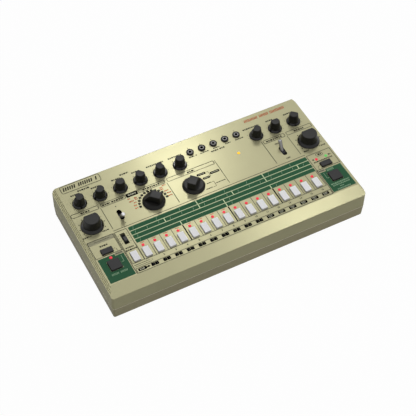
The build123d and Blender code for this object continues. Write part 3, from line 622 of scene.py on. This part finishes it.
# the boxes over the two green fields: taupe fields, words, a hook to the button, small frames
sideBoxes = {
    "left": {"frames": [(-148.2, -29.8, -118.0, -5.7, 0.6, 0.75)],
             "fields": [(-147.7, -11.4, -118.5, -6.2), (-127.2, -33.4, -118.4, -30.2)],
             "words": [(-140.5, -122.5, -8.8, 0.6), (-137.6, -128.2, -16.1, 1.8),
                       (-126.6, -119.2, -31.8, 0.9)],
             "hook": [((-125.4, -24.6), (-123.4, -23.6)), ((-123.0, -24.6), (-122.4, -29.6))]},
    "right": {"frames": [(118.2, -29.6, 148.3, -5.6, 0.6, 0.75), (128.7, -11.8, 137.3, -7.0, 2.2, 0.6)],
              "fields": [(118.8, -33.5, 127.4, -30.1)],
              "words": [(131.2, 135.4, -9.3, 2.2), (121.8, 123.6, -14.0, 1.7), (141.8, 144.8, -14.0, 1.7),
                        (121.4, 144.8, -18.2, 1.5), (119.6, 126.8, -31.7, 0.9)],
              "hook": [((122.6, -24.9), (125.4, -23.5)), ((122.4, -25.6), (122.0, -29.4))]},
}
hookLine = 0.4


def printSideBox(look):
    for box in look["frames"]:
        printFrame("inkLine", *box)
    for field in look["fields"]:
        printBar("inkTaupe", *field)
    printRows("inkDark", look["words"])
    for start, end in look["hook"]:
        printLine("inkDark", start, end, hookLine)


def printSideBoxes():
    for look in sideBoxes.values():
        printSideBox(look)


def printGreenFields():
    look = {"left": [(-146.8, -64.2), (-118.4, -64.2), (-118.4, -33.8), (-127.6, -33.8), (-128.1, -31.1),
                     (-146.8, -31.1)],
            "right": [(119.3, -64.2), (147.5, -64.2), (147.2, -31.1), (127.9, -31.1), (127.5, -34.0),
                      (119.3, -34.0)],
            "buttonX": 133.0, "half": 6.9, "corner": 0.8, "lamp": (-133.0, -33.9, 1.75),
            "arrows": [(-122.3, -1), (123.1, 1)], "arrowSpan": (-35.6, -43.6), "arrowLine": 0.6,
            "headFoot": 1.0, "headTip": 2.8, "headSpan": (-42.7, -44.6), "shaftEnd": 1.2,
            "hatches": [(-141.6, -133.2, -56.2, -53.8, 6), (-131.6, -123.4, -56.2, -53.8, 6),
                        (128.4, 137.0, -35.2, -32.0, 6)],
            "stroke": 0.8, "lean": 0.5,
            "words": [(122.2, 144.6, -53.8, 1.8), (123.0, 143.8, -56.4, 1.6), (130.0, 135.4, -59.4, 1.3),
                      (125.2, 141.6, -62.4, 1.5)]}
    half, keyY = look["half"], middle("start_button")[1]
    holes = [roundedLoop(keyX - half, keyY - half, keyX + half, keyY + half, look["corner"])
             for keyX in (-look["buttonX"], look["buttonX"])]
    printPlate("inkGreen", look["left"], holes[0], roundLoop(*look["lamp"]))
    printPlate("inkGreen", look["right"], holes[1])
    top, foot = look["arrowSpan"]
    headTop, headFoot = look["headSpan"]
    for x, aim in look["arrows"]:
        printPath("inkMint", [(x, top), (x, foot), (x + aim * look["shaftEnd"], foot)], look["arrowLine"])
        printPlate("inkMint", [(x + aim * look["headFoot"], headTop), (x + aim * look["headTip"], foot),
                               (x + aim * look["headFoot"], headFoot)])
    for x0, x1, low, high, count in look["hatches"]:
        printHatch("inkMint", x0, x1, low, high, count, look["stroke"], look["lean"])
    printRows("inkMint", look["words"])


def printGreenRows():
    # one row of beats for each step grouping, split where its bars begin
    look = {"rows": [(-11.3, -6.0), (-17.15, -12.2), (-23.0, -18.05), (-28.9, -23.9)],
            "ends": (-100.7, 117.2), "gapWidth": 1.0, "split": 0.75, "splitInset": 0.2,
            "gaps": [(-20.1, 61.8), (-61.1, -20.1, 20.8, 61.8, 102.7), (7.2,), (-47.5, 7.2, 61.8)],
            "pale": 0.2, "paleCorner": 0.1, "corner": 0.3, "stroke": 0.4, "lean": 0.5, "inset": 0.9,
            "strokes": [range(0, 16, 2), range(16), (0, 8), (0, 4, 8, 12)], "first": -95.6, "pitch": 13.69}
    left, right = look["ends"]
    half, pale, inset, lean = look["gapWidth"] / 2, look["pale"], look["splitInset"], look["lean"]
    for above, below in zip(look["rows"], look["rows"][1:]):
        printBar("inkPale", left, below[1] + pale, right, above[0] - pale, look["paleCorner"])
    for (low, high), gaps, strokes in zip(look["rows"], look["gaps"], look["strokes"]):
        edges = [left] + [gap + side for gap in gaps for side in (-half, half)] + [right]
        for x0, x1 in zip(edges[::2], edges[1::2]):
            printBar("inkGreen", x0, low, x1, high, look["corner"])
        for gap in gaps:
            printLine("inkPale", (gap, low + inset), (gap, high - inset), look["split"])
        foot, top = low + look["inset"], high - look["inset"]
        for n in strokes:
            x = look["first"] + look["pitch"] * n
            printLine("inkMint", (x - lean, foot), (x + lean, top), look["stroke"])


def printSteps():
    look = {"top": -29.3, "bottom": -51.8, "heavy": (4, 8, 12), "heavyLine": 1.35, "line": 0.75,
            "first": -102.3, "pitch": 13.71, "right": 117.1, "strip": (-116.6, -65.2, 117.8, -58.3, 0.6),
            "badgeRow": -61.4, "badge": 4.1, "corner": 0.6, "numberRow": -55.0, "number": 2.2, "pairs": 10,
            "pairShift": 0.2, "pairStep": 2.15, "tick": ((0.5, -62.0), (0.8, -60.6), 0.24),
            "wide": (-4.1, 4.3), "wideInset": 0.15, "orangeKeys": 8, "orangeWord": (-2.6, 2.6, -30.4, 0.95),
            "wideWords": [(-2.6, 2.4, -60.6, 0.75), (-2.2, 1.6, -62.2, 0.65)]}
    for n in range(17):
        x = look["first"] + n * look["pitch"]
        heavy = n in look["heavy"]
        printLine("inkBlack" if heavy else "inkLine", (x, look["top"]), (x, look["bottom"]),
                  look["heavyLine"] if heavy else look["line"])
    printLine("inkLine", (look["first"], look["bottom"]), (look["right"], look["bottom"]), look["line"])
    printFrame("inkLine", *look["strip"], look["line"])
    half = look["badge"] / 2
    low, high = look["badgeRow"] - half, look["badgeRow"] + half
    (x0, y0), (x1, y1), tickLine = look["tick"]
    for n in range(16):
        x = look["first"] + (n + 0.5) * look["pitch"]
        printText("inkDark", str(n + 1), x, look["numberRow"], look["number"])
        if n < look["pairs"]:
            for side in (-1, 1):
                badgeX = x + look["pairShift"] + side * look["pairStep"]
                printBar("inkBlack", badgeX - half, low, badgeX + half, high, look["corner"])
                printLine("inkSilver", (badgeX + x0, y0), (badgeX + x1, y1), tickLine)
        else:
            left, right = look["wide"]
            printBar("inkBlack", x + left, low + look["wideInset"], x + right, high - look["wideInset"],
                     look["corner"])
            printRows("inkCream", [(x + start, x + end, *rest) for start, end, *rest in look["wideWords"]])
        if n < look["orangeKeys"]:
            start, end, *rest = look["orangeWord"]
            printRows("inkOrange", [(x + start, x + end, *rest)])


def printFunctionLabel():
    look = {"words": [(-115.6, -98.0, -54.3, 0.75), (-115.6, -96.6, -56.6, 0.6)],
            "badge": (-114.4, -63.2, -104.6, -59.6, 1.2), "badgeWord": (-112.6, -107.0, -61.4, 1.4),
            "arrow": [(-105.6, -62.0), (-103.2, -62.0), (-103.2, -62.9), (-100.6, -61.4), (-103.2, -59.9),
                      (-103.2, -60.8), (-105.6, -60.8)]}
    printRows("inkDark", look["words"])
    printBar("inkBlack", *look["badge"])
    printRows("inkCream", [look["badgeWord"]])
    printPlate("inkBlack", look["arrow"])


for printPart in (printKnobScales, printCaptions, printTitles, printSections, printPatternSelector,
                  printModeSelector, printSwitchMarks, printScaleBox, printSideBoxes, printGreenFields,
                  printGreenRows, printSteps, printFunctionLabel):
    printPart()
# pieces of printing: ink, and whether it lies on another ink
pressings = {
    "printedFields": ("inkTaupe", False), "printedTicks": ("inkSilver", True),
    "printedGaps": ("inkPale", False), "printedGreen": ("inkGreen", False),
    "printedBadges": ("inkBlack", False), "printedOrange": ("inkOrange", False),
    "printedLines": ("inkLine", False), "printedWords": ("inkDark", True),
    "printedCream": ("inkCream", True), "printedMint": ("inkMint", True),
}
for name, (layer, over) in pressings.items():
    pressInk(name, layer, panelTop + (inkLook["thickness"] if over else 0))
print("panel printed:", sum(len(plates) for plates in ink.values()), "plates")


# black lining inside each mini jack, open at the top
jackLook = {"radius": 1.78, "top": 1.1, "bottom": -9.0, "count": 28}


def makeJackLinings():
    mesh = bmesh.new()
    for x, y in jackSpots:
        loop = roundLoop(x, y, jackLook["radius"], jackLook["count"])
        rings = [addRing(mesh, loop, panelTop + jackLook[level]) for level in ("bottom", "top")]
        joinRings(mesh, rings)
        mesh.faces.new(rings[0])
    joinMesh("jackLinings", mesh, "holeBlack", "case", True)


makeJackLinings()


def turnProfile(mesh, profile, count, place):
    # a line of (radius, height) points in millimetres is turned about an axis, then put in place
    rings = []
    for radius, height in profile:
        spots = roundLoop(0, 0, radius, count) if radius > 0 else [(0, 0)]
        rings.append([mesh.verts.new(place @ Vector((x * mm, y * mm, height * mm))) for x, y in spots])
    for low, high in zip(rings, rings[1:]):
        for n in range(count):
            after = (n + 1) % count
            corners = [low[n % len(low)], low[after % len(low)], high[after % len(high)], high[n % len(high)]]
            mesh.faces.new(list(dict.fromkeys(corners)))


softAngle = 40.0    # degrees


def softEdges(piece):
    # flat and round faces meet in a crisp line
    data = piece.data
    data.polygons.foreach_set("use_smooth", [True] * len(data.polygons))
    limit = math.radians(softAngle)
    mesh = bmesh.new()
    mesh.from_mesh(data)
    bmesh.ops.recalc_face_normals(mesh, faces=mesh.faces)
    for edge in mesh.edges:
        edge.smooth = len(edge.link_faces) == 2 and edge.calc_face_angle() < limit
    mesh.to_mesh(data)
    mesh.free()


# black collars on the jacks' bushes leave a thin bright ring round each hole
collarLook = {"inner": 2.55, "outer": 2.95, "foot": 1.2, "top": 1.56, "chamfer": 0.1, "count": 32}


def makeCollars():
    mesh = bmesh.new()
    inner, outer, chamfer = collarLook["inner"], collarLook["outer"], collarLook["chamfer"]
    foot, top = panelTop + collarLook["foot"], panelTop + collarLook["top"]
    profile = [(inner, foot), (outer, foot), (outer, top - chamfer), (outer - chamfer, top), (inner, top),
               (inner, foot)]
    for x, y in jackSpots:
        turnProfile(mesh, profile, collarLook["count"], Matrix.Translation((x * mm, y * mm, 0)))
    softEdges(joinMesh("jackCollars", mesh, "nutBlack", "case"))


makeCollars()
print("jacks lined and collared")


# bead in the groove between the two shells; its pale colour is a painted highlight along the seam
beadLook = {"low": 16.75, "high": 17.5, "inset": 0.04, "depth": 0.5, "radius": 3.0, "cornerSteps": 8,
            "openRow": 0.004, "openEnd": 0.012}


def makeBead():
    low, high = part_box("upper_shell")
    mesh = bmesh.new()
    outer, inner = beadLook["inset"], beadLook["inset"] + beadLook["depth"]
    foot, top = beadLook["low"], beadLook["high"]
    rings = []
    for inset, z in ((inner, foot), (outer, foot), (outer, top), (inner, top)):
        loop = roundedLoop(low.x / mm + inset, low.y / mm + inset, high.x / mm - inset, high.y / mm - inset,
                           beadLook["radius"], beadLook["cornerSteps"])
        rings.append(addRing(mesh, loop, z))

    def isRearOpening(start, end):
        spot = (start + end) / 2
        return spot.y > high.y - beadLook["openRow"] and abs(spot.x) < high.x - beadLook["openEnd"]

    joinRings(mesh, rings, isRearOpening)
    bmesh.ops.delete(mesh, geom=[vert for vert in mesh.verts if not vert.link_faces], context="VERTS")
    softEdges(joinMesh("seamBead", mesh, "seamGoldPaintedHighlight", "case"))


makeBead()
print("seam beaded")


# lamps: a low domed lens over the hole, its body, flange and two legs
lampShape = {"lens": 1.7, "gap": 0.03, "rim": 0.16, "dome": 0.55, "domeSteps": 6, "body": 1.48,
             "flange": 1.85, "flangeHeight": 1.0, "flangeDrop": 3.3, "leg": 0.35, "legStep": 1.0, "count": 28,
             "legCount": 12, "stepRow": -33.9, "bankRow": -14.7, "bankRed": 6.6, "bankGreen": 5.6,
             "power": (54.1, 32.8)}


def lampProfile(legTop):
    look = lampShape
    lens, body, flange, steps = look["lens"], look["body"], look["flange"], look["domeSteps"]
    foot, flangeTop = panelTop + look["gap"], legTop + look["flangeHeight"]
    profile = [(0.0, legTop), (flange, legTop), (flange, flangeTop), (body, flangeTop), (body, foot),
               (lens, foot)]
    for step in range(steps + 1):
        angle = math.radians(90 * step / steps)
        rise = look["rim"] + look["dome"] * math.sin(angle)
        profile.append((lens * math.cos(angle) if step < steps else 0.0, panelTop + rise))
    return profile


def makeLamps(name, node, spots, finish):
    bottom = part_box(node)[0].z / mm
    flangeFoot = panelTop - lampShape["flangeDrop"]
    radius = lampShape["leg"]
    legProfile = [(0.0, bottom), (radius, bottom), (radius, flangeFoot), (0.0, flangeFoot)]
    mesh = bmesh.new()
    for x, y in spots:
        place = Matrix.Translation((x * mm, y * mm, 0))
        turnProfile(mesh, lampProfile(flangeFoot), lampShape["count"], place)
        for side in (-1, 1):
            leg = Matrix.Translation(((x + side * lampShape["legStep"]) * mm, y * mm, 0))
            turnProfile(mesh, legProfile, lampShape["legCount"], leg)
    piece = joinMesh(name, mesh, finish, "case")
    softEdges(piece)
    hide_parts(node)


bankX, stepRow, bankRow = middle("select_button")[0], lampShape["stepRow"], lampShape["bankRow"]
redSpots = [(middle(f"step_button_{n:02d}")[0], stepRow) for n in range(1, 17)]
redSpots += [(middle("start_button")[0], stepRow), (bankX - lampShape["bankRed"], bankRow)]
greenSpots = [(bankX + lampShape["bankGreen"], bankRow)]
makeLamps("redLamps", "red_leds", redSpots, "redLens")
makeLamps("greenLamp", "green_led", greenSpots, "greenLens")
makeLamps("yellowLamp", "yellow_led", [lampShape["power"]], "yellowLens")
print("lamps set:", len(redSpots) + 2)


# toggle switches: a thick steel bat that comes out of a black drum on the cross pin
batShape = {"profile": [(0.0, 2.6), (1.9, 2.7), (1.95, 5.0), (2.15, 14.0), (2.22, 15.3), (0.0, 15.3)],
            "cap": [(0.0, 15.2), (2.22, 15.3), (2.2, 15.8), (2.05, 16.25), (1.7, 16.55), (0.0, 16.6)],
            "drum": [(0.0, -2.3), (4.0, -2.3), (4.0, 2.3), (0.0, 2.3)], "pin": 0.78, "pinHalf": 3.9,
            "pivotDrop": 4.5, "row": 13.4, "lean": 29.5, "batCount": 36, "drumCount": 40, "pinCount": 16}


def makeToggle(node, name, side, tip):
    look = batShape
    pivot = Matrix.Translation((middle(node)[0] * mm, look["row"] * mm, (panelTop - look["pivotDrop"]) * mm))
    leaning = pivot @ Matrix.Rotation(-math.radians(look["lean"] * side), 4, "X")
    mesh = bmesh.new()
    turnProfile(mesh, look["profile"], look["batCount"], leaning)
    bat = joinMesh(name + "Bat", mesh, "batSteel", node + "_body")
    softEdges(bat)
    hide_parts(node)
    mesh = bmesh.new()
    turnProfile(mesh, look["cap"], look["batCount"], leaning)
    softEdges(joinMesh(name + "Tip", mesh, tip, node + "_body"))
    mesh = bmesh.new()
    cross = pivot @ Matrix.Rotation(math.radians(90), 4, "Y")
    turnProfile(mesh, look["drum"], look["drumCount"], cross)
    half, radius = look["pinHalf"], look["pin"]
    turnProfile(mesh, [(0.0, -half), (radius, -half), (radius, half), (0.0, half)], look["pinCount"], cross)
    softEdges(joinMesh(name + "Drum", mesh, "plainBlack", node + "_body"))


# black lining of the two toggle slots
slotLook = {"width": 5.4, "length": 13.8, "wall": 0.22, "foot": 2.2, "rim": 0.04, "round": 0.999,
            "cornerSteps": 10}


def lineSlots():
    mesh = bmesh.new()
    for node in ("left_toggle_lever", "right_toggle_lever"):
        x, y = middle(node)[0], batShape["row"]
        loops = []
        for inset in (0.0, slotLook["wall"]):
            half, reach = slotLook["width"] / 2 - inset, slotLook["length"] / 2 - inset
            loops.append(roundedLoop(x - half, y - reach, x + half, y + reach, half * slotLook["round"],
                                     slotLook["cornerSteps"]))
        outer, inner = loops
        foot, rim = panelTop - slotLook["foot"], panelTop + slotLook["rim"]
        walls = ((outer, foot), (outer, rim), (inner, rim), (inner, foot))
        rings = [addRing(mesh, loop, height) for loop, height in walls]
        joinRings(mesh, rings + rings[:1])
    bmesh.ops.recalc_face_normals(mesh, faces=mesh.faces)
    softEdges(joinMesh("slotLinings", mesh, "holeBlack", "case"))


lineSlots()
# the left tip takes a lighter steel than the right one: a painted highlight
makeToggle("left_toggle_lever", "leftToggle", -1, "tipSteelPaintedHighlight")
makeToggle("right_toggle_lever", "rightToggle", 1, "batSteel")
print("toggles made")


# plain pale marks over the sockets on the rear plate, and the generic I and O on the power rocker
rearMarks = {"row": 31.0, "height": 1.2, "lift": 0.06, "behind": 0.2, "rocker": (98.0, 18.2),
             "rockerStep": 4.6, "stroke": 0.55, "barHalf": 1.5, "ring": 1.6, "ringCount": 24,
             "rows": [(118.0, 126.0), (93.5, 102.5), (67.5, 76.5), (32.5, 43.5), (4.5, 15.5), (-90.0, -78.0),
                      (-122.0, -110.0)]}


def layOnRear(name, node, body):
    # the cream plates, loops of (x, height), are laid on whatever face of the node looks backwards
    mesh = bmesh.new()
    for loop, holes in ink["inkCream"]:
        fillPlate(mesh, loop, holes, 0.0)
    solid = frame["nodes"][node].data
    tree = BVHTree.FromPolygons([vert.co for vert in solid.vertices],
                                [face.vertices for face in solid.polygons])
    for vert in mesh.verts:
        x, z = vert.co.x, vert.co.y
        spot = tree.ray_cast(Vector((x, rearMarks["behind"], z)), Vector((0, -1, 0)))[0]
        vert.co = (x, spot.y + rearMarks["lift"] * mm, z)
    joinInk(name, mesh, "inkCream", body, 1)


def markRear():
    look = rearMarks
    ink["inkCream"].clear()
    printRows("inkCream", [(x0, x1, look["row"], look["height"]) for x0, x1 in look["rows"]])
    layOnRear("rearDashes", "rear_panel", "case")
    x, z = look["rocker"]
    low, high, half = z - look["rockerStep"], z + look["rockerStep"], look["stroke"] / 2
    ink["inkCream"].clear()
    printBar("inkCream", x - half, high - look["barHalf"], x + half, high + look["barHalf"])
    rings = [roundLoop(x, low, look["ring"] - inset, look["ringCount"]) for inset in (0, look["stroke"])]
    printPlate("inkCream", *rings)
    layOnRear("rockerMarks", "power_rocker", "power_rocker_body")


markRear()
print("rear marked")


# camera, floor and lights
cameraLook = {"azimuth": -28.404, "elevation": 51.172, "roll": 0.993, "distance": 1312.313, "lens": 103.69,
              "sensor": 36.0, "target": (-4.384, -5.882, 21.15)}


def placeCamera():
    azimuth, elevation, roll = (math.radians(cameraLook[key]) for key in ("azimuth", "elevation", "roll"))
    back = Vector((math.sin(azimuth) * math.cos(elevation), -math.cos(azimuth) * math.cos(elevation),
                   math.sin(elevation)))
    level = Vector((math.cos(azimuth), math.sin(azimuth), 0))
    rise = back.cross(level)
    right = level * math.cos(roll) + rise * math.sin(roll)
    up = rise * math.cos(roll) - level * math.sin(roll)
    data = bpy.data.cameras.new("viewCamera")
    data.lens = cameraLook["lens"]
    data.sensor_width = cameraLook["sensor"]
    camera = addObject("viewCamera", data)
    place = Matrix((right, up, back)).transposed().to_4x4()
    place.translation = (Vector(cameraLook["target"]) + back * cameraLook["distance"]) * mm
    camera.matrix_world = place
    bpy.context.scene.camera = camera


def pointLamp(name, place, target, size, power):
    data = bpy.data.lights.new(name, "AREA")
    data.shape = "RECTANGLE"
    data.size, data.size_y = size
    data.energy = power
    lamp = addObject(name, data)
    lamp.location = place
    lamp.rotation_euler = (Vector(target) - Vector(place)).to_track_quat("-Z", "Y").to_euler()


# small lamps whose reflections make the bright bands, and broad ones for the rest
lampLook = {
    "rearGlint": {"place": (0.382, 0.891, 1.048), "target": (-0.008, 0.078, 0.0428), "size": (0.1, 0.1),
                  "power": 1.2},
    "middleGlint": {"place": (0.367, 0.779, 1.082), "target": (-0.022, 0.01, 0.0428), "size": (0.1, 0.1),
                    "power": 0.49},
    "frontGlint": {"place": (0.328, 0.714, 1.105), "target": (-0.045, -0.03, 0.0428), "size": (0.1, 0.1),
                   "power": 0.09},
    "panelSheen": {"place": (0.376, 0.821, 1.069), "target": (-0.015, 0.035, 0.0428), "size": (0.9, 0.9),
                   "power": 3.78},
    "overhead": {"place": (-0.1, 0.35, 2.0), "target": (0, 0, 0.04), "size": (1.2, 1.2), "power": 6.45},
    "ledgeGlint": {"place": (0.588, -0.626, 1.163), "target": (0.085, -0.0722, 0.0392), "size": (0.26, 0.2),
                   "power": 2.08},
    "ledgeSheen": {"place": (0.264, -0.649, 1.21), "target": (-0.08, -0.0722, 0.0392), "size": (0.7, 0.5),
                   "power": 2.06},
}
for lampName, look in lampLook.items():
    pointLamp(lampName, **look)


stageLook = {"sky": 0.2, "floor": 0.62, "cloud": 0.02, "cloudSize": 3.0, "roughness": 0.9, "specular": 0.1,
             "glow": 0.975, "half": 6.0}


def mixShaders(tree, fac, first, second, target):
    mix = tree.nodes.new("ShaderNodeMixShader")
    link(tree, fac, mix.inputs["Fac"])
    link(tree, first, mix.inputs[1])
    link(tree, second, mix.inputs[2])
    link(tree, mix.outputs["Shader"], target)


def backdropRays(tree):
    # 1 for the rays that see the backdrop: from the camera, off metal or through glass
    path = tree.nodes.new("ShaderNodeLightPath").outputs
    direct = compute(tree, "MAXIMUM", path["Is Camera Ray"], path["Is Glossy Ray"])
    return compute(tree, "MAXIMUM", direct, path["Is Transmission Ray"])


def addBackground(tree, strength):
    background = tree.nodes.new("ShaderNodeBackground")
    background.inputs["Color"].default_value = (1.0, 1.0, 1.0, 1.0)
    background.inputs["Strength"].default_value = strength
    return background.outputs["Background"]


def makeSky():
    world = bpy.data.worlds.new("studio")
    world.use_nodes = True
    tree = world.node_tree
    tree.nodes.clear()
    output = tree.nodes.new("ShaderNodeOutputWorld")
    mixShaders(tree, backdropRays(tree), addBackground(tree, stageLook["sky"]), addBackground(tree, 1.0),
               output.inputs["Surface"])
    bpy.context.scene.world = world


def makeFloor():
    finish, tree, shader = newFinish("paleFloor")
    cloud = addNoise(tree, stageLook["cloudSize"])
    tones = [(stageLook["floor"] + side * stageLook["cloud"],) * 3 for side in (-1, 1)]
    link(tree, mixColours(tree, cloud, *tones), shader.inputs["Base Color"])
    shader.inputs["Roughness"].default_value = stageLook["roughness"]
    shader.inputs["Specular IOR Level"].default_value = stageLook["specular"]
    glow = tree.nodes.new("ShaderNodeEmission")
    glow.inputs["Strength"].default_value = 1.0
    share = compute(tree, "MULTIPLY", backdropRays(tree), stageLook["glow"])
    mixShaders(tree, share, shader.outputs["BSDF"], glow.outputs["Emission"],
               tree.nodes["Material Output"].inputs["Surface"])
    mesh = bmesh.new()
    half = stageLook["half"]
    corners = ((-half, -half), (half, -half), (half, half), (-half, half))
    mesh.faces.new([mesh.verts.new((x, y, 0.0)) for x, y in corners])
    data = bpy.data.meshes.new("floor")
    mesh.to_mesh(data)
    mesh.free()
    floor = addObject("floor", data)
    data.materials.append(finish)


placeCamera()
makeSky()
makeFloor()
bpy.context.scene.view_settings.view_transform = "Standard"
print("stage set")
